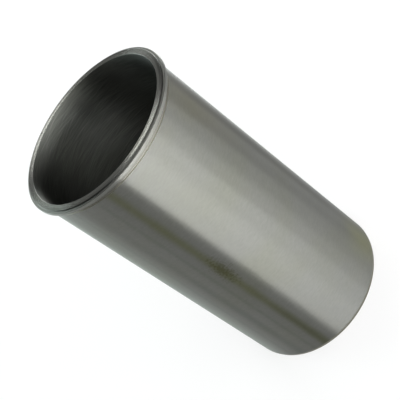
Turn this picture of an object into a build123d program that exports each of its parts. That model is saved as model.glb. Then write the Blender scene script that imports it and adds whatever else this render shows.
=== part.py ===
"""Dry cylinder liner: a thin-walled sleeve with a flange and a raised fire dam at its top end.

The liner stands on its bottom end, flange up. +Z is the bore axis, and the origin is the centre
of the bottom end face. All sizes are in millimetres.
"""

import os
from math import radians, tan

from build123d import *

# Bore and body
bore_diameter = 104.4
body_diameter = 110.0
overall_length = 216.2

# Flange, which hangs the liner in the counterbore of its block
flange_diameter = 115.8
flange_thickness = 2.3
flange_edge_break = 0.25

# Fire dam: the ring on top of the flange that the cylinder head gasket closes on
dam_diameter = 112.4
dam_height = 1.0
dam_edge_break = 0.15

# Inner land: the dam's face falls slightly towards the bore, so that the gasket seats outside it
land_diameter = 108.6
land_fall = 0.12
mouth_edge_break = 0.15

# Relief groove under the flange, which clears the corner of the counterbore
groove_width = 4.0
groove_depth = 0.7
groove_root_radius = 0.5
groove_shoulder_angle = 30.0

# Lead-in at the bottom end, outside and inside
lead_length = 2.4
lead_angle = 15.0
bore_lead_length = 1.2
bore_lead_angle = 30.0

# How closely a profile corner must match the place it is looked up by
corner_tolerance = 1e-6

# Radii and heights that follow from these
bore_radius = bore_diameter / 2
body_radius = body_diameter / 2
flange_radius = flange_diameter / 2
dam_radius = dam_diameter / 2
land_radius = land_diameter / 2
groove_radius = body_radius - groove_depth
lead_depth = lead_length * tan(radians(lead_angle))
bore_lead_depth = bore_lead_length * tan(radians(bore_lead_angle))

flange_top = overall_length - dam_height
flange_underside = flange_top - flange_thickness
groove_bottom = flange_underside - groove_width
shoulder_height = groove_depth * tan(radians(groove_shoulder_angle))
land_inner_height = overall_length - land_fall


def corner_at(vertices, radius, height):
    """Return the profile corners that lie at one radius and height."""
    place = Vector(radius, height)
    return [v for v in vertices if (Vector(v.X, v.Y) - place).length < corner_tolerance]


with BuildPart() as cylinder_liner:
    # Half section, drawn with X as the radius and Y as the height above the bottom end
    with BuildSketch(Plane.XZ) as section:
        with BuildLine():
            # Bottom end face and the outer lead-in
            Polyline(
                (bore_radius + bore_lead_depth, 0),
                (body_radius - lead_depth, 0),
                (body_radius, lead_length),
                (body_radius, groove_bottom),
            )
            # Relief groove: its sloped shoulder, its floor and the flange's underside
            Polyline(
                (body_radius, groove_bottom),
                (groove_radius, groove_bottom + shoulder_height),
                (groove_radius, flange_underside),
                (flange_radius, flange_underside),
            )
            # Flange rim, flange face, and the dam that stands on it
            Polyline(
                (flange_radius, flange_underside),
                (flange_radius, flange_top),
                (dam_radius, flange_top),
                (dam_radius, overall_length),
                (land_radius, overall_length),
                (bore_radius, land_inner_height),
            )
            # Bore, and its lead-in at the bottom
            Polyline(
                (bore_radius, land_inner_height),
                (bore_radius, bore_lead_length),
                (bore_radius + bore_lead_depth, 0),
            )
        make_face()

        # Root radius where the groove meets the flange's underside
        fillet(corner_at(section.vertices(), groove_radius, flange_underside), groove_root_radius)

        # Edge breaks on the rim, the dam and the bore's mouth
        chamfer(corner_at(section.vertices(), flange_radius, flange_underside), flange_edge_break)
        chamfer(corner_at(section.vertices(), flange_radius, flange_top), flange_edge_break)
        chamfer(corner_at(section.vertices(), dam_radius, overall_length), dam_edge_break)
        chamfer(corner_at(section.vertices(), bore_radius, land_inner_height), mouth_edge_break)
    revolve(axis=Axis.Z)

cylinder_liner.part.label = "cylinder_liner"

os.makedirs("parts", exist_ok=True)
export_step(cylinder_liner.part, "parts/cylinder_liner.step")
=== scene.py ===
"""Dresses a dry cylinder liner and sets it in a small pale studio.

The liner is one turned piece, so its visual form is one lathe mesh: a half section with every corner
slightly rounded, turned about the bore axis. Each stretch of the section carries the finish that the
machining leaves on it. Sizes are in millimetres and become metres where the mesh is made. Places
round the liner are angles in degrees from the front (-Y), counted towards +X.
"""

import logging
from dataclasses import dataclass, field
from enum import Enum
from math import cos, pi, radians, sin, tan

import bpy
from mathutils import Matrix, Vector

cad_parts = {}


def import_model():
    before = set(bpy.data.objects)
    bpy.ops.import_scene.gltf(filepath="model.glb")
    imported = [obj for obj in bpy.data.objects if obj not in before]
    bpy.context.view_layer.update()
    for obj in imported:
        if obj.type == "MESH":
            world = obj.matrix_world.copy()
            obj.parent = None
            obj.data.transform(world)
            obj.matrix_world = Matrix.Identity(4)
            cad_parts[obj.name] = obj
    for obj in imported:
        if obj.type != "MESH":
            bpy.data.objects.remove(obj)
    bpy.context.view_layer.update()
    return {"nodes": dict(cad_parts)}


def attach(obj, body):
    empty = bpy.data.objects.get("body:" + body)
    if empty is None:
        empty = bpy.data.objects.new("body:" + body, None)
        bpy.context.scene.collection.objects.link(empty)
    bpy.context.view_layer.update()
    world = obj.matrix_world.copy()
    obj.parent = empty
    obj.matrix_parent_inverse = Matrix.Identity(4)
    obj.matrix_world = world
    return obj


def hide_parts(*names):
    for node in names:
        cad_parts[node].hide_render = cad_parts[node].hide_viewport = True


LOG = logging.getLogger("liner")
NODE = "cylinder_liner"
PIECE = "liner_turned"
MM = 0.001

Colour = tuple[float, float, float]
NEUTRAL: Colour = (1.0, 1.0, 1.0)
IRON: Colour = (0.985, 1.0, 0.92)
HONED_IRON: Colour = (0.965, 1.0, 0.91)
OLIVE: Colour = (0.74, 0.76, 0.50)
OIL_STAIN: Colour = (0.92, 0.93, 0.80)

QUARTER_TURN = 0.25  # turns the wide spread of light from along the marks to across them
BUMP_STRENGTH = 0.35
ROUGHNESS_SWING = 0.05  # how far the marks vary the roughness, either way, as a share of it
FLAT_FACE_WEIGHT = 100
MOST_OF_A_SIDE = 0.45  # the most that a rounding may take of a side of the section
LAMP_DISTANCE = 1.5  # metres, from the point that the lamps face


class Zone(Enum):
    """The finishes that machining leaves on the liner, in the order of the mesh's material slots."""

    GROUND = 0
    LAND = 1
    DAM = 2
    WALL = 3
    FLANGE = 4
    RIM = 5
    GROOVE = 6
    SHOULDER = 7
    HONED = 8
    BREAK = 9
    END = 10
    LEAD = 11


@dataclass(frozen=True)
class Corner:
    """One corner of the half section: its place, the finish of the stretch after it, and its rounding."""

    radius: float
    height: float
    zone: Zone
    rounding: float

    def point(self) -> Vector:
        """Return the corner's place in the section's plane."""
        return Vector((self.radius, self.height))


# ---------------------------------------------------------------- node groups


def rgba(grey: float, tint: Colour = NEUTRAL) -> tuple[float, float, float, float]:
    """Return a linear colour of one brightness, tinted."""
    return (grey * tint[0], grey * tint[1], grey * tint[2], 1.0)


class Wiring:
    """Adds nodes to one node tree and feeds their sockets."""

    def __init__(self, tree: bpy.types.NodeTree) -> None:
        """Keep the tree that the nodes go into."""
        self.tree = tree

    def node(self, kind: str, **settings: object) -> bpy.types.Node:
        """Add a node.

        Args:
            kind: the node's type name.
            settings: the node's own options.

        Returns:
            The node.
        """
        made = self.tree.nodes.new(kind)
        for key, value in settings.items():
            setattr(made, key, value)
        return made

    def put(self, socket: bpy.types.NodeSocket, value: object) -> None:
        """Feed a socket.

        Args:
            socket: the input to feed.
            value: another socket to link it to, or its constant.
        """
        if isinstance(value, bpy.types.NodeSocket):
            self.tree.links.new(value, socket)
        else:
            socket.default_value = value

    def math(self, operation: str, *values: object) -> bpy.types.NodeSocket:
        """Add a Math node.

        Args:
            operation: what it does.
            values: what it does it to, sockets or constants.

        Returns:
            Its output.
        """
        made = self.node("ShaderNodeMath", operation=operation)
        for socket, value in zip(made.inputs, values):
            self.put(socket, value)
        return made.outputs[0]

    def group(self, shared: bpy.types.NodeTree, values: dict[str, float]) -> bpy.types.Node:
        """Place a shared group.

        Args:
            shared: the group.
            values: the inputs that differ from the group's defaults.

        Returns:
            The group's node.
        """
        made = self.node("ShaderNodeGroup", node_tree=shared)
        for label, value in values.items():
            self.put(made.inputs[label], value)
        return made


class GroupBuilder(Wiring):
    """Builds one shader node group with named inputs and outputs."""

    def __init__(self, name: str, inputs: dict[str, float], outputs: tuple[str, ...]) -> None:
        """Make the group and its sockets.

        Args:
            name: the group's name.
            inputs: each value input's name and its default.
            outputs: each value output's name.
        """
        super().__init__(bpy.data.node_groups.new(name, "ShaderNodeTree"))
        sockets = self.tree.interface
        for label, value in inputs.items():
            made = sockets.new_socket(label, in_out="INPUT", socket_type="NodeSocketFloat")
            made.default_value = value
        for label in outputs:
            sockets.new_socket(label, in_out="OUTPUT", socket_type="NodeSocketFloat")
        self.inputs = self.node("NodeGroupInput").outputs
        self.outputs = self.node("NodeGroupOutput").inputs

    def vector(self, x: object, y: object, z: object) -> bpy.types.NodeSocket:
        """Combine three values into a vector.

        Args:
            x: the first, a socket or a constant, as are the others.
            y: the second.
            z: the third.

        Returns:
            The vector.
        """
        made = self.node("ShaderNodeCombineXYZ")
        for socket, value in zip(made.inputs, (x, y, z)):
            self.put(socket, value)
        return made.outputs[0]

    def split(self, vector: bpy.types.NodeSocket) -> list[bpy.types.NodeSocket]:
        """Split a vector into its three values.

        Args:
            vector: the vector.

        Returns:
            Its x, y and z.
        """
        made = self.node("ShaderNodeSeparateXYZ")
        self.put(made.inputs[0], vector)
        return list(made.outputs)

    def noise(self, place: bpy.types.NodeSocket, scale: object, detail: float = 3.0) -> bpy.types.NodeSocket:
        """Add a noise texture.

        Args:
            place: where it is read.
            scale: how fine it is, a socket or a constant.
            detail: how many finer layers it has.

        Returns:
            Its value.
        """
        made = self.node("ShaderNodeTexNoise")
        self.put(made.inputs["Vector"], place)
        self.put(made.inputs["Scale"], scale)
        self.put(made.inputs["Detail"], detail)
        return made.outputs["Fac"]

    def ramp(self, value: bpy.types.NodeSocket, low: float, high: float) -> bpy.types.NodeSocket:
        """Map a value smoothly from low..high to 0..1, and clamp it.

        Args:
            value: the value.
            low: where the ramp gives 0.
            high: where it gives 1.

        Returns:
            The mapped value.
        """
        made = self.node("ShaderNodeMapRange", interpolation_type="SMOOTHSTEP")
        self.put(made.inputs["Value"], value)
        self.put(made.inputs["From Min"], low)
        self.put(made.inputs["From Max"], high)
        return made.outputs[0]

    def blend(
        self, first: bpy.types.NodeSocket, second: bpy.types.NodeSocket, share: float
    ) -> bpy.types.NodeSocket:
        """Weigh two values against each other.

        Args:
            first: the value that counts by the share.
            second: the value that counts by the rest.
            share: the share, from 0 to 1.

        Returns:
            The weighed sum.
        """
        rest = self.math("MULTIPLY", second, 1.0 - share)
        return self.math("ADD", self.math("MULTIPLY", first, share), rest)

    def length(self, x: bpy.types.NodeSocket, y: bpy.types.NodeSocket) -> bpy.types.NodeSocket:
        """Return the length of a flat vector."""
        return self.math("SQRT", self.math("ADD", self.math("MULTIPLY", x, x), self.math("MULTIPLY", y, y)))

    def round_coordinates(self) -> dict[str, bpy.types.NodeSocket]:
        """Work out the place about the bore axis.

        Returns:
            The place itself, with its x, height, y, radius and angle, and the angle's cosine and sine.
        """
        place = self.node("ShaderNodeTexCoord").outputs["Object"]
        x, y, height = self.split(place)
        radius = self.length(x, y)
        return {
            "place": place,
            "x": x,
            "y": y,
            "height": height,
            "radius": radius,
            "cos": self.math("DIVIDE", x, radius),
            "sin": self.math("DIVIDE", y, radius),
            "angle": self.math("ARCTAN2", x, self.math("MULTIPLY", y, -1.0)),
        }

    def wound(
        self, about: dict[str, bpy.types.NodeSocket], around: object, along: object
    ) -> bpy.types.NodeSocket:
        """Wind a place on a seamless loop round the axis, for noise drawn out along the marks.

        Args:
            about: the place about the bore axis, from round_coordinates.
            around: how much the noise varies round the loop.
            along: how far along the axis it is read.

        Returns:
            The place.
        """
        x = self.math("MULTIPLY", about["cos"], around)
        y = self.math("MULTIPLY", about["sin"], around)
        return self.vector(x, y, along)

    def out(self, label: str, value: bpy.types.NodeSocket) -> None:
        """Feed one of the group's outputs."""
        self.put(self.outputs[label], value)


class Effects:
    """The surface effects that several finishes share, each a node group made once."""

    def __init__(self) -> None:
        """Build every group."""
        self.lay = self._machining_lay()
        self.grain = self._iron_grain()
        self.stain = self._oil_stain()
        self.patch = self._placed_patch()
        self.hone = self._cross_hatch()

    @staticmethod
    def _machining_lay() -> bpy.types.ShaderNodeTree:
        """Make fine marks that run round the axis, as a grinding wheel or a lathe tool leaves them.

        Returns:
            The group: Pitch counts the marks in a metre, and Wander is how much they vary round the axis.
        """
        broad_pitch, broad_share = 0.11, 0.2
        softened, fine_detail = 0.5, 4.0
        g = GroupBuilder("machining_lay", {"Pitch": 2500.0, "Wander": 2.2}, ("Height", "Shade"))
        about = g.round_coordinates()
        across = g.math("ADD", about["height"], about["radius"])
        run = g.math("MULTIPLY", across, g.inputs["Pitch"])
        fine = g.wound(about, g.inputs["Wander"], run)
        broad = g.vector(about["cos"], about["sin"], g.math("MULTIPLY", run, broad_pitch))
        g.out("Height", g.noise(fine, 1.0, fine_detail))
        g.out("Shade", g.blend(g.noise(broad, 1.0), g.noise(fine, softened), broad_share))
        return g.tree

    @staticmethod
    def _iron_grain() -> bpy.types.ShaderNodeTree:
        """Make the fine speckle of graphite in grey iron, drawn out a little along the marks.

        Returns:
            The group: Scale is how fine the speckle is, and Draw how much of that it keeps round the axis.
        """
        g = GroupBuilder("iron_grain", {"Scale": 900.0, "Draw": 0.35}, ("Speckle",))
        about = g.round_coordinates()
        scale = g.inputs["Scale"]
        around = g.math("MULTIPLY", g.math("MULTIPLY", scale, g.inputs["Draw"]), about["radius"])
        place = g.wound(about, around, g.math("MULTIPLY", about["height"], scale))
        g.out("Speckle", g.noise(place, 1.0))
        return g.tree

    @staticmethod
    def _oil_stain() -> bpy.types.ShaderNodeTree:
        """Make broad, weak blotches where oil and handling have toned the iron.

        Returns:
            The group: Scale is how fine the blotches are.
        """
        clean, stained, detail = 0.42, 0.68, 4.0
        g = GroupBuilder("oil_stain", {"Scale": 22.0}, ("Mask",))
        about = g.round_coordinates()
        g.out("Mask", g.ramp(g.noise(about["place"], g.inputs["Scale"], detail), clean, stained))
        return g.tree

    @staticmethod
    def _placed_patch() -> bpy.types.ShaderNodeTree:
        """Make one soft stain, scuff, painted shade or painted reflection at a stated angle and height, with
        a ragged edge.

        Returns:
            The group: angles are in radians, heights in metres, and both reaches run to the patch's edge.
        """
        detail, middle = 4.0, 0.5
        g = GroupBuilder(
            "placed_patch",
            {"Angle": 0.0, "Angle Reach": 0.1, "Height": 0.1, "Height Reach": 0.1, "Ragged": 0.3,
             "Ragged Scale": 60.0},
            ("Mask",),
        )
        about = g.round_coordinates()
        turned = g.math("WRAP", g.math("SUBTRACT", about["angle"], g.inputs["Angle"]), pi, -pi)
        aside = g.math("DIVIDE", turned, g.inputs["Angle Reach"])
        rise = g.math("SUBTRACT", about["height"], g.inputs["Height"])
        along = g.math("DIVIDE", rise, g.inputs["Height Reach"])
        rag = g.math("SUBTRACT", g.noise(about["place"], g.inputs["Ragged Scale"], detail), middle)
        reach = g.math("ADD", g.length(aside, along), g.math("MULTIPLY", rag, g.inputs["Ragged"]))
        g.out("Mask", g.ramp(reach, 1.0, 0.0))
        return g.tree

    @staticmethod
    def _cross_hatch() -> bpy.types.ShaderNodeTree:
        """Make long scratches that cross at a low angle, as a hone leaves them, with no seam.

        Returns:
            The group: Pitch counts the scratches in a metre, Slant is their climb, and Draw how much
            they vary round the axis.
        """
        faint, plain = 0.60, 0.70
        dull, bright, streak_share = 0.36, 0.64, 0.6
        g = GroupBuilder(
            "cross_hatch", {"Pitch": 1500.0, "Slant": 0.20, "Draw": 1.4}, ("Height", "Shade")
        )
        about = g.round_coordinates()
        strokes = []
        for side in ("x", "y"):
            for lean in (1.0, -1.0):
                tilt = g.math("MULTIPLY", g.math("MULTIPLY", about[side], g.inputs["Slant"]), lean)
                run = g.math("MULTIPLY", g.math("ADD", about["height"], tilt), g.inputs["Pitch"])
                strokes.append(g.noise(g.wound(about, g.inputs["Draw"], run), 1.0))
        total, lines = strokes[0], g.ramp(strokes[0], faint, plain)
        for stroke in strokes[1:]:
            total = g.math("ADD", total, stroke)
            lines = g.math("MAXIMUM", lines, g.ramp(stroke, faint, plain))
        mean = g.math("MULTIPLY", total, 1.0 / len(strokes))
        g.out("Height", mean)
        g.out("Shade", g.blend(g.ramp(mean, dull, bright), lines, streak_share))
        return g.tree


# ---------------------------------------------------------------- finishes


@dataclass(frozen=True)
class Marks:
    """The marks that a tool leaves: how many lie in a metre, their depth, and their contrast in tone."""

    pitch: float
    depth: float
    contrast: float


@dataclass(frozen=True)
class Patch:
    """A stain, scuff, streak, painted shade or painted reflection at one place on the liner.

    The angle and the height are its middle's, and each reach runs from there to its edge, round the
    liner or up and down. The tint multiplies the metal's own colour, by the strength.
    """

    angle: float
    angle_reach: float
    height: float
    height_reach: float
    tint: Colour
    strength: float
    ragged: float = 0.4
    ragged_scale: float = 40.0

    def settings(self) -> dict[str, float]:
        """Return what the patch's node group is given."""
        return {
            "Angle": radians(self.angle),
            "Angle Reach": radians(self.angle_reach),
            "Height": self.height * MM,
            "Height Reach": self.height_reach * MM,
            "Ragged": self.ragged,
            "Ragged Scale": self.ragged_scale,
        }


@dataclass(frozen=True)
class Finish:
    """One machined finish of the liner's iron.

    The brightness is the metal's own, except on the dam wall, where it is lowered to painted shade, and on
    the groove shoulder, where it is raised to a painted highlight. The lay is how strongly the marks spread
    light across them. The grain and the stain are how strongly the speckle and the blotches show.
    """

    name: str
    brightness: float
    tint: Colour
    roughness: float
    lay: float
    marks: Marks
    grain: float
    stain: float
    honed: bool = False
    patches: tuple[Patch, ...] = ()

    def material(self, effects: Effects) -> bpy.types.Material:
        """Build the finish's material.

        Args:
            effects: the shared node groups.

        Returns:
            The material.
        """
        made = bpy.data.materials.new(self.name)
        made.use_nodes = True
        shader = made.node_tree.nodes["Principled BSDF"].inputs
        shader["Metallic"].default_value = 1.0
        shader["Anisotropic"].default_value = self.lay
        shader["Anisotropic Rotation"].default_value = QUARTER_TURN

        wiring = Wiring(made.node_tree)
        tool = effects.hone if self.honed else effects.lay
        marks = wiring.group(tool, {"Pitch": self.marks.pitch}).outputs
        tangent = wiring.node("ShaderNodeTangent", direction_type="RADIAL", axis="Z").outputs[0]
        wiring.put(shader["Base Color"], self._colour(wiring, effects, marks["Shade"]))
        wiring.put(shader["Roughness"], self._roughness(wiring, marks["Shade"]))
        wiring.put(shader["Normal"], self._relief(wiring, marks["Height"]))
        wiring.put(shader["Tangent"], tangent)
        return made

    def _colour(self, wiring: Wiring, effects: Effects, shade: bpy.types.NodeSocket) -> bpy.types.NodeSocket:
        """Tone the iron with its stains and its patches, which include painted shade and painted reflection,
        then shade it with its marks and grain.

        Args:
            wiring: the material's wiring.
            effects: the shared node groups.
            shade: how bright the marks are.

        Returns:
            The base colour.
        """
        stain = wiring.group(effects.stain, {}).outputs["Mask"]
        colour = self._toned(wiring, rgba(self.brightness, self.tint), stain, self.stain, OIL_STAIN)
        for patch in self.patches:
            mask = wiring.group(effects.patch, patch.settings()).outputs["Mask"]
            colour = self._toned(wiring, colour, mask, patch.strength, patch.tint)

        speckle = wiring.group(effects.grain, {}).outputs["Speckle"]
        shaded = wiring.node("ShaderNodeVectorMath", operation="SCALE")
        wiring.put(shaded.inputs[0], colour)
        wiring.put(shaded.inputs["Scale"], self._tone(wiring, shade, speckle))
        return shaded.outputs[0]

    def _tone(
        self, wiring: Wiring, shade: bpy.types.NodeSocket, speckle: bpy.types.NodeSocket
    ) -> bpy.types.NodeSocket:
        """Vary a tone of 1 by the marks and the grain, each about its own middle value.

        Args:
            wiring: the material's wiring.
            shade: how bright the marks are, from 0 to 1.
            speckle: how bright the grain is, from 0 to 1.

        Returns:
            The tone.
        """
        tone: object = 1.0 - self.marks.contrast - self.grain
        for value, contrast in ((shade, self.marks.contrast), (speckle, self.grain)):
            tone = wiring.math("MULTIPLY_ADD", value, 2.0 * contrast, tone)
        return tone

    def _roughness(self, wiring: Wiring, shade: bpy.types.NodeSocket) -> bpy.types.NodeSocket:
        """Vary the roughness a little with the marks.

        Args:
            wiring: the material's wiring.
            shade: how bright the marks are.

        Returns:
            The roughness.
        """
        rough = wiring.node("ShaderNodeMapRange")
        wiring.put(rough.inputs["Value"], shade)
        wiring.put(rough.inputs["To Min"], self.roughness * (1.0 - ROUGHNESS_SWING))
        wiring.put(rough.inputs["To Max"], self.roughness * (1.0 + ROUGHNESS_SWING))
        return rough.outputs[0]

    def _relief(self, wiring: Wiring, height: bpy.types.NodeSocket) -> bpy.types.NodeSocket:
        """Raise the marks.

        Args:
            wiring: the material's wiring.
            height: how high the marks stand.

        Returns:
            The normal.
        """
        bump = wiring.node("ShaderNodeBump")
        wiring.put(bump.inputs["Strength"], BUMP_STRENGTH)
        wiring.put(bump.inputs["Distance"], self.marks.depth * MM)
        wiring.put(bump.inputs["Height"], height)
        return bump.outputs[0]

    @staticmethod
    def _toned(
        wiring: Wiring, colour: object, mask: bpy.types.NodeSocket, strength: float, tint: Colour
    ) -> bpy.types.NodeSocket:
        """Multiply a colour by a tint where a mask shows.

        Args:
            wiring: the material's wiring.
            colour: the colour, a socket or a constant.
            mask: where the tint shows.
            strength: how strongly it shows there.
            tint: the tint.

        Returns:
            The toned colour.
        """
        mix = wiring.node("ShaderNodeMix", data_type="RGBA", blend_type="MULTIPLY")
        under, over = (socket for socket in mix.inputs if socket.type == "RGBA")
        share = next(socket for socket in mix.inputs if socket.name == "Factor" and socket.type == "VALUE")
        wiring.put(under, colour)
        wiring.put(over, rgba(1.0, tint))
        wiring.put(share, wiring.math("MULTIPLY", mask, strength))
        return next(socket for socket in mix.outputs if socket.type == "RGBA")


def wall_patches() -> tuple[Patch, ...]:
    """Return the stains, streaks and scuffs of the ground wall, most of its streaks being painted reflection.

    Returns:
        The patches. Each row opens with its angle and reach, its height and reach, its tint and its strength.
    """
    return (
        # Streaks that run the length of the wall. The olive one is a darker streak. The others are painted
        # reflection: the dark band and the bright edge strip on the right, and the darker greyish-green bands
        # on the left.
        Patch(-27.0, 5.5, 90.0, 700.0, OLIVE, 0.85, ragged=0.5),
        Patch(66.0, 9.0, 130.0, 200.0, (0.62, 0.62, 0.58), 0.95),
        Patch(76.5, 5.5, 110.0, 80.0, (1.25, 1.25, 1.22), 1.0, ragged=0.3),
        Patch(-37.0, 2.6, 100.0, 500.0, (0.86, 0.90, 0.86), 0.85, ragged=0.6),
        Patch(-48.0, 5.5, 50.0, 200.0, (0.78, 0.82, 0.79), 0.9, ragged=0.7, ragged_scale=30.0),
        Patch(-58.0, 2.5, 90.0, 400.0, (0.86, 0.90, 0.88), 0.8, ragged=0.6),
        Patch(-75.0, 14.0, 100.0, 500.0, (0.92, 1.0, 0.97), 0.8, ragged=0.3),
        # A yellowish stain above the bottom end, and duller and brighter areas.
        Patch(58.0, 26.0, 12.0, 32.0, (1.24, 1.24, 0.88), 1.0, ragged=0.6),
        Patch(-27.0, 5.0, 25.0, 75.0, (0.76, 0.76, 0.76), 0.9, ragged=0.6),
        Patch(12.0, 30.0, 25.0, 60.0, (1.0, 1.0, 1.06), 0.9, ragged_scale=20.0),
        # Painted reflection: the left edge's bright strip, lighter low down and darker near the top.
        Patch(-72.0, 13.0, 55.0, 100.0, (1.13, 1.13, 1.13), 0.9, ragged_scale=30.0),
        Patch(-70.0, 14.0, 190.0, 60.0, (0.82, 0.82, 0.82), 0.8, ragged_scale=30.0),
        Patch(56.0, 24.0, 190.0, 50.0, (1.0, 0.97, 0.82), 1.0, ragged=0.7, ragged_scale=30.0),
        # A scuff half way up.
        Patch(-26.0, 7.0, 112.0, 20.0, (0.60, 0.58, 0.44), 0.8, ragged=2.2, ragged_scale=700.0),
    )


def painted_shade_bore(angle: float, reach: float, height: float, rise: float, grey: float, strength: float) -> Patch:
    """Return an area of painted shade in the honed bore.

    Args:
        angle: its middle's angle round the liner.
        reach: how far round it reaches, either way.
        height: its middle's height.
        rise: how far up and down it reaches.
        grey: what it leaves of the brightness.
        strength: how strongly it shows.

    Returns:
        The patch.
    """
    return Patch(angle, reach, height, rise, (grey, grey, grey), strength, ragged=0.5, ragged_scale=25.0)


def painted_shade_arc(angle: float, reach: float, tint: Colour) -> Patch:
    """Return a painted shade arc on one of the top end's rings: a darker patch over the ring's whole width,
    where its reflection is dimmer.
    """
    top_end, well_past_it = 216.0, 60.0
    return Patch(angle, reach, top_end, well_past_it, tint, 1.0)


def liner_finishes() -> dict[Zone, Finish]:
    """List the liner's finishes.

    Returns:
        The finish of each stretch of the section.
    """
    faced = Marks(pitch=6000.0, depth=0.001, contrast=0.05)
    edged = Marks(pitch=5200.0, depth=0.004, contrast=0.08)
    turned = Marks(pitch=4200.0, depth=0.004, contrast=0.08)
    # The grey left by the painted shade arcs on the dam.
    painted_shade_grey = (0.60, 0.60, 0.58)
    return {
        Zone.GROUND: Finish(
            "ground_body", brightness=0.152, tint=IRON, roughness=0.365, lay=1.0,
            marks=Marks(pitch=3200.0, depth=0.004, contrast=0.06), grain=0.12, stain=0.40,
            patches=wall_patches(),
        ),
        Zone.LAND: Finish(
            "turned_land", brightness=0.35, tint=IRON, roughness=0.216, lay=0.944,
            marks=faced, grain=0.03, stain=0.20,
            # Painted shade: the land darker near the front, where its reflection is dimmer.
            patches=(painted_shade_arc(9.0, 30.0, (0.62, 0.62, 0.60)),),
        ),
        Zone.DAM: Finish(
            "turned_dam", brightness=0.29, tint=IRON, roughness=0.216, lay=0.944,
            marks=faced, grain=0.03, stain=0.20,
            # Painted shade: the dam darker on the left and on the right, where its reflection is dimmer.
            patches=(painted_shade_arc(-68.0, 24.0, painted_shade_grey), painted_shade_arc(66.0, 22.0, painted_shade_grey)),
        ),
        # Painted shade: the dam wall's brightness is set far below the dam's, to paint it as a dark line.
        Zone.WALL: Finish(
            "dam_wall", brightness=0.05, tint=IRON, roughness=0.40, lay=0.60,
            marks=edged, grain=0.05, stain=0.40,
        ),
        Zone.FLANGE: Finish(
            "turned_flange", brightness=0.172, tint=IRON, roughness=0.46, lay=0.60,
            marks=faced, grain=0.03, stain=0.20,
            # Painted shade: the flange face darker on the right.
            patches=(painted_shade_arc(98.0, 28.0, (0.55, 0.55, 0.53)),),
        ),
        Zone.RIM: Finish(
            "turned_rim", brightness=0.180, tint=IRON, roughness=0.365, lay=1.0,
            marks=Marks(pitch=5200.0, depth=0.004, contrast=0.10), grain=0.06, stain=0.20,
        ),
        Zone.GROOVE: Finish(
            "turned_groove", brightness=0.14, tint=(1.0, 0.99, 0.88), roughness=0.40, lay=0.95,
            marks=turned, grain=0.05, stain=0.30,
        ),
        # Painted highlight: the shoulder's brightness is set about three times the ground wall's, to paint
        # the bright cream line that it catches.
        Zone.SHOULDER: Finish(
            "turned_shoulder", brightness=0.50, tint=(1.0, 0.98, 0.84), roughness=0.40, lay=0.80,
            marks=turned, grain=0.04, stain=0.20,
        ),
        Zone.HONED: Finish(
            "honed_bore", brightness=0.20, tint=HONED_IRON, roughness=0.58, lay=0.84,
            marks=Marks(pitch=2200.0, depth=0.003, contrast=0.34), grain=0.05, stain=0.25, honed=True,
            # Painted shade: darker areas of the bore just inside the mouth, darkest on the right.
            patches=(
                painted_shade_bore(-125.0, 42.0, 190.0, 60.0, 0.66, 0.9),
                painted_shade_bore(95.0, 72.0, 209.0, 46.0, 0.16, 1.0),
                painted_shade_bore(168.0, 55.0, 202.0, 42.0, 0.38, 1.0),
                painted_shade_bore(172.0, 14.0, 195.0, 36.0, 0.72, 0.9),
                painted_shade_bore(-105.0, 35.0, 210.0, 40.0, 0.50, 1.0),
            ),
        ),
        Zone.BREAK: Finish(
            "broken_edges", brightness=0.12, tint=IRON, roughness=0.34, lay=0.60,
            marks=edged, grain=0.04, stain=0.15,
        ),
        Zone.END: Finish(
            "turned_end", brightness=0.22, tint=IRON, roughness=0.34, lay=0.75,
            marks=Marks(pitch=4200.0, depth=0.004, contrast=0.10), grain=0.05, stain=0.30,
        ),
        Zone.LEAD: Finish(
            "turned_lead", brightness=0.145, tint=(1.0, 0.985, 0.76), roughness=0.36, lay=0.60,
            marks=edged, grain=0.04, stain=0.15,
        ),
    }


# ---------------------------------------------------------------- the liner


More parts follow.
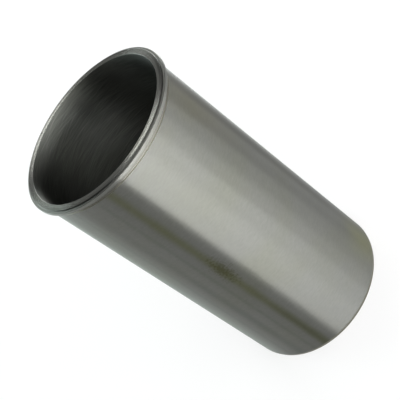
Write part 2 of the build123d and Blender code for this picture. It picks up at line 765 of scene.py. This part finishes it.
@dataclass
class CylinderLiner:
    """The liner: a thin sleeve with a flange, a fire dam and a relief groove at its top end."""

    bore_radius: float = 52.2
    body_radius: float = 55.0
    overall_length: float = 216.2
    flange_radius: float = 57.9
    flange_thickness: float = 2.3
    flange_break: float = 0.25
    dam_radius: float = 56.2
    dam_height: float = 1.0
    dam_break: float = 0.15
    land_radius: float = 54.3
    land_fall: float = 0.12
    mouth_break: float = 0.15
    groove_width: float = 4.0
    groove_depth: float = 0.7
    groove_root: float = 0.5
    shoulder_angle: float = 30.0
    lead_length: float = 2.4
    lead_angle: float = 15.0
    bore_lead_length: float = 1.2
    bore_lead_angle: float = 30.0
    corner_rounding: float = 0.05
    segments: int = 360
    arc_steps: int = 4
    finishes: dict[Zone, Finish] = field(default_factory=dict)

    def section(self) -> list[Corner]:
        """Work out the half section's corners.

        Returns:
            The corners, once round, from the bottom face's inner edge outwards and up.
        """
        top = self.overall_length
        flange_top = top - self.dam_height
        underside = flange_top - self.flange_thickness
        groove_bottom = underside - self.groove_width
        groove_radius = self.body_radius - self.groove_depth
        shoulder_top = groove_bottom + self.groove_depth * tan(radians(self.shoulder_angle))
        lead_radius = self.body_radius - self.lead_length * tan(radians(self.lead_angle))
        bore_lead_radius = self.bore_radius + self.bore_lead_length * tan(radians(self.bore_lead_angle))
        mouth_height = top - self.land_fall
        slope = self.land_fall / (self.land_radius - self.bore_radius)
        mouth_outer = mouth_height + self.mouth_break * slope
        soft, root = self.corner_rounding, self.groove_root
        return [
            Corner(bore_lead_radius, 0.0, Zone.END, soft),
            Corner(lead_radius, 0.0, Zone.LEAD, soft),
            Corner(self.body_radius, self.lead_length, Zone.GROUND, soft),
            Corner(self.body_radius, groove_bottom, Zone.SHOULDER, soft),
            Corner(groove_radius, shoulder_top, Zone.GROOVE, soft),
            Corner(groove_radius, underside, Zone.GROOVE, root),
            Corner(self.flange_radius - self.flange_break, underside, Zone.BREAK, soft),
            Corner(self.flange_radius, underside + self.flange_break, Zone.RIM, soft),
            Corner(self.flange_radius, flange_top - self.flange_break, Zone.BREAK, soft),
            Corner(self.flange_radius - self.flange_break, flange_top, Zone.FLANGE, soft),
            Corner(self.dam_radius, flange_top, Zone.WALL, soft),
            Corner(self.dam_radius, top - self.dam_break, Zone.BREAK, soft),
            Corner(self.dam_radius - self.dam_break, top, Zone.DAM, soft),
            Corner(self.land_radius, top, Zone.LAND, soft),
            Corner(self.bore_radius + self.mouth_break, mouth_outer, Zone.BREAK, soft),
            Corner(self.bore_radius, mouth_height - self.mouth_break, Zone.HONED, soft),
            Corner(self.bore_radius, self.bore_lead_length, Zone.BREAK, soft),
        ]

    def _outline(self) -> list[tuple[float, float, Zone]]:
        """Round the section's corners.

        Returns:
            The section's points: each one's radius, its height and the finish of the stretch after it.
        """
        corners = self.section()
        points: list[tuple[float, float, Zone]] = []
        for i, here in enumerate(corners):
            before, after = corners[i - 1], corners[(i + 1) % len(corners)]
            corner = here.point()
            back, ahead = before.point() - corner, after.point() - corner
            room = min(back.length, ahead.length) * MOST_OF_A_SIDE
            reach = min(here.rounding / tan(back.angle(ahead) / 2.0), room)
            start = corner + back.normalized() * reach
            end = corner + ahead.normalized() * reach
            for step in range(self.arc_steps + 1):
                t = step / self.arc_steps
                bend = start * (1 - t) ** 2 + corner * (2 * t * (1 - t)) + end * t**2
                points.append((bend.x, bend.y, before.zone if 2 * step < self.arc_steps else here.zone))
        return points

    def build(self) -> bpy.types.Object:
        """Turn the section about the bore axis.

        Returns:
            The liner's object, with no finishes yet.
        """
        outline = self._outline()
        count, around = len(outline), self.segments
        vertices: list[tuple[float, float, float]] = []
        faces: list[tuple[int, int, int, int]] = []
        zones: list[int] = []
        for step in range(around):
            angle = 2.0 * pi * step / around
            x, y = cos(angle), sin(angle)
            vertices += [(r * x * MM, r * y * MM, z * MM) for r, z, _ in outline]
            here, beside = step * count, ((step + 1) % around) * count
            for i in range(count):
                j = (i + 1) % count
                faces.append((here + i, beside + i, beside + j, here + j))
                zones.append(outline[i][2].value)
        mesh = bpy.data.meshes.new(PIECE)
        mesh.from_pydata(vertices, [], faces)
        mesh.validate()
        mesh.polygons.foreach_set("material_index", zones)
        mesh.polygons.foreach_set("use_smooth", [True] * len(faces))
        mesh.update()
        made = bpy.data.objects.new(PIECE, mesh)
        bpy.context.scene.collection.objects.link(made)
        keep = made.modifiers.new("flat_faces_stay_flat", "WEIGHTED_NORMAL")
        keep.mode = "FACE_AREA"
        keep.weight = FLAT_FACE_WEIGHT
        return made

    def dress(self, made: bpy.types.Object, effects: Effects) -> None:
        """Give each stretch its finish.

        Args:
            made: the liner's object.
            effects: the shared node groups.
        """
        for zone in Zone:
            made.data.materials.append(self.finishes[zone].material(effects))


# ---------------------------------------------------------------- the studio


@dataclass(frozen=True)
class Softbox:
    """A soft rectangular lamp that faces the liner, LAMP_DISTANCE away.

    The bearing is counted as the liner's angles are, and the height angle from the floor. The spread and
    the rise are the angles that it fills, across and up, as the liner sees it.
    """

    name: str
    bearing: float
    height_angle: float
    spread: float
    rise: float
    power: float
    tint: Colour = NEUTRAL

    def build(self, target: Vector) -> None:
        """Place the lamp.

        Args:
            target: the point that it faces.
        """
        bearing, height_angle = radians(self.bearing), radians(self.height_angle)
        flat = cos(height_angle)
        lamp = bpy.data.lights.new(self.name, "AREA")
        lamp.shape = "RECTANGLE"
        lamp.size = 2.0 * LAMP_DISTANCE * tan(radians(self.spread / 2.0)) * flat
        lamp.size_y = 2.0 * LAMP_DISTANCE * tan(radians(self.rise / 2.0))
        lamp.energy = self.power
        lamp.color = self.tint
        made = bpy.data.objects.new(self.name, lamp)
        made.visible_camera = False
        away = Vector((flat * sin(bearing), -flat * cos(bearing), sin(height_angle)))
        made.location = target + LAMP_DISTANCE * away
        made.rotation_euler = (target - made.location).to_track_quat("-Z", "Y").to_euler()
        bpy.context.scene.collection.objects.link(made)


@dataclass
class Studio:
    """The floor, the soft lamps, the world and the camera.

    The floor, the backdrop and the aim are in metres. The camera's places are in millimetres.
    """

    floor_half: float = 6.0
    backdrop_height: float = 0.5
    floor_colour: float = 0.90
    floor_lift: float = 0.68
    world_strength: float = 0.2
    aim_height: float = 0.1
    camera_place: tuple[float, float, float] = (0.0, -539.5, 504.4)
    camera_aim: tuple[float, float, float] = (2.7, 0.0, 121.7)
    camera_roll: float = -54.0
    camera_near: float = 0.01
    lens: float = 91.93
    sensor: float = 36.0
    lamps: tuple[Softbox, ...] = ()

    def build(self) -> None:
        """Build everything that isn't the liner."""
        self._floor()
        self._world()
        self._camera()
        for lamp in self.lamps:
            lamp.build(Vector((0.0, 0.0, self.aim_height)))
            LOG.info("lamp %s", lamp.name)

    def _floor(self) -> None:
        """Lay the pale floor that the liner stands on, turned up at its far edges as a low backdrop."""
        h = self.floor_half
        low = [(-h, -h, 0.0), (h, -h, 0.0), (h, h, 0.0), (-h, h, 0.0)]
        high = [(x, y, self.backdrop_height) for x, y, _ in low]
        around = len(low)
        walls = [(i, i + around, (i + 1) % around + around, (i + 1) % around) for i in range(around)]
        mesh = bpy.data.meshes.new("studio_floor")
        mesh.from_pydata(low + high, [], [(0, 1, 2, 3)] + walls)
        floor = bpy.data.objects.new("studio_floor", mesh)
        bpy.context.scene.collection.objects.link(floor)
        paint = bpy.data.materials.new("pale_floor")
        paint.use_nodes = True
        shader = paint.node_tree.nodes["Principled BSDF"]
        shader.inputs["Base Color"].default_value = rgba(self.floor_colour)
        shader.inputs["Roughness"].default_value = 1.0
        shader.inputs["Specular IOR Level"].default_value = 0.0
        self._lift_to_white(paint.node_tree, shader)
        mesh.materials.append(paint)

    def _lift_to_white(self, tree: bpy.types.NodeTree, shader: bpy.types.Node) -> None:
        """Mix white into what the camera and the metal see of the floor, and leave part of the shadow.

        Args:
            tree: the floor's node tree.
            shader: the floor's own shader.
        """
        wiring = Wiring(tree)
        path = wiring.node("ShaderNodeLightPath").outputs
        seen = path["Is Camera Ray"]
        for other in ("Is Glossy Ray", "Is Transmission Ray"):
            seen = wiring.math("MAXIMUM", seen, path[other])
        white = wiring.node("ShaderNodeEmission", name="white")
        mix = wiring.node("ShaderNodeMixShader")
        wiring.put(mix.inputs["Fac"], wiring.math("MULTIPLY", seen, self.floor_lift))
        wiring.put(mix.inputs[1], shader.outputs[0])
        wiring.put(mix.inputs[2], white.outputs[0])
        wiring.put(tree.nodes["Material Output"].inputs["Surface"], mix.outputs[0])

    def _world(self) -> None:
        """Give the room a weak even light."""
        world = bpy.data.worlds.new("studio_room")
        bpy.context.scene.world = world
        world.use_nodes = True
        back = world.node_tree.nodes["Background"]
        back.inputs["Color"].default_value = rgba(1.0)
        back.inputs["Strength"].default_value = self.world_strength

    def _camera(self) -> None:
        """Set the camera at its viewing angle, turned about its own axis."""
        lens = bpy.data.cameras.new("view")
        lens.lens = self.lens
        lens.sensor_width = self.sensor
        lens.clip_start = self.camera_near
        view = bpy.data.objects.new("view", lens)
        place = Vector(self.camera_place) * MM
        aim = Vector(self.camera_aim) * MM
        turn = (aim - place).to_track_quat("-Z", "Y").to_matrix().to_4x4()
        roll = Matrix.Rotation(radians(self.camera_roll), 4, "Z")
        view.matrix_world = Matrix.Translation(place) @ turn @ roll
        bpy.context.scene.collection.objects.link(view)
        bpy.context.scene.camera = view


def low_front_row() -> tuple[Softbox, ...]:
    """Make the row of lamps low in front, which the wall mirrors as one wide band.

    Returns:
        The lamps, from left to right.
    """
    height_angle, rise = 6.0, 12.0
    bearings = (-17.0, 5.0, 27.0, 49.0, 71.0, 95.0)
    spreads = (22.0, 22.0, 22.0, 22.0, 22.0, 26.0)
    powers = (12.24, 13.17, 12.38, 7.79, 4.78, 2.04)
    return tuple(
        Softbox(f"front_low_{number}", bearing, height_angle, spread, rise, power)
        for number, (bearing, spread, power) in enumerate(zip(bearings, spreads, powers), start=1)
    )


def studio_lamps() -> tuple[Softbox, ...]:
    """List the studio's soft lamps.

    Returns:
        The low row in front, then the others, each named for its place about the liner.
    """
    cool, cooler = (0.94, 1.0, 0.99), (0.86, 1.0, 0.98)
    return low_front_row() + (
        Softbox("front_mid_1", bearing=-7.0, height_angle=23.0, spread=44.0, rise=22.0, power=8.49),
        Softbox("front_mid_2", bearing=35.0, height_angle=23.0, spread=40.0, rise=22.0, power=2.74),
        Softbox("left_side", bearing=-83.0, height_angle=12.0, spread=34.0, rise=24.0, power=0.99),
        Softbox("left_back_low", bearing=-134.0, height_angle=7.0, spread=68.0, rise=14.0, power=7.35,
                tint=cooler),
        Softbox("left_back_mid", bearing=-150.0, height_angle=28.0, spread=24.0, rise=28.0, power=6.85,
                tint=cooler),
        Softbox("left_mid", bearing=-118.0, height_angle=28.0, spread=40.0, rise=28.0, power=1.28,
                tint=cooler),
        Softbox("right_edge_low", bearing=148.0, height_angle=8.0, spread=34.0, rise=14.0, power=8.0,
                tint=cool),
        Softbox("right_back_mid", bearing=150.0, height_angle=20.0, spread=24.0, rise=12.0, power=2.91),
        Softbox("back_high", bearing=172.5, height_angle=51.0, spread=17.0, rise=13.0, power=2.7),
        Softbox("right_high", bearing=82.0, height_angle=53.0, spread=44.0, rise=26.0, power=0.87),
        Softbox("overhead_right", bearing=100.0, height_angle=72.0, spread=70.0, rise=16.0, power=2.00),
    )


def main() -> None:
    """Build the liner, dress it and set it in the studio."""
    logging.basicConfig(level=logging.INFO, format="%(message)s")
    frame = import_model()
    LOG.info("frame: %d node", len(frame["nodes"]))
    bpy.context.scene.view_settings.view_transform = "Standard"

    effects = Effects()
    liner = CylinderLiner(finishes=liner_finishes())
    turned = liner.build()
    liner.dress(turned, effects)
    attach(turned, "root")
    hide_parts(NODE)
    LOG.info("%s: %d faces", turned.name, len(turned.data.polygons))

    Studio(lamps=studio_lamps()).build()


if __name__ == "__main__":
    main()
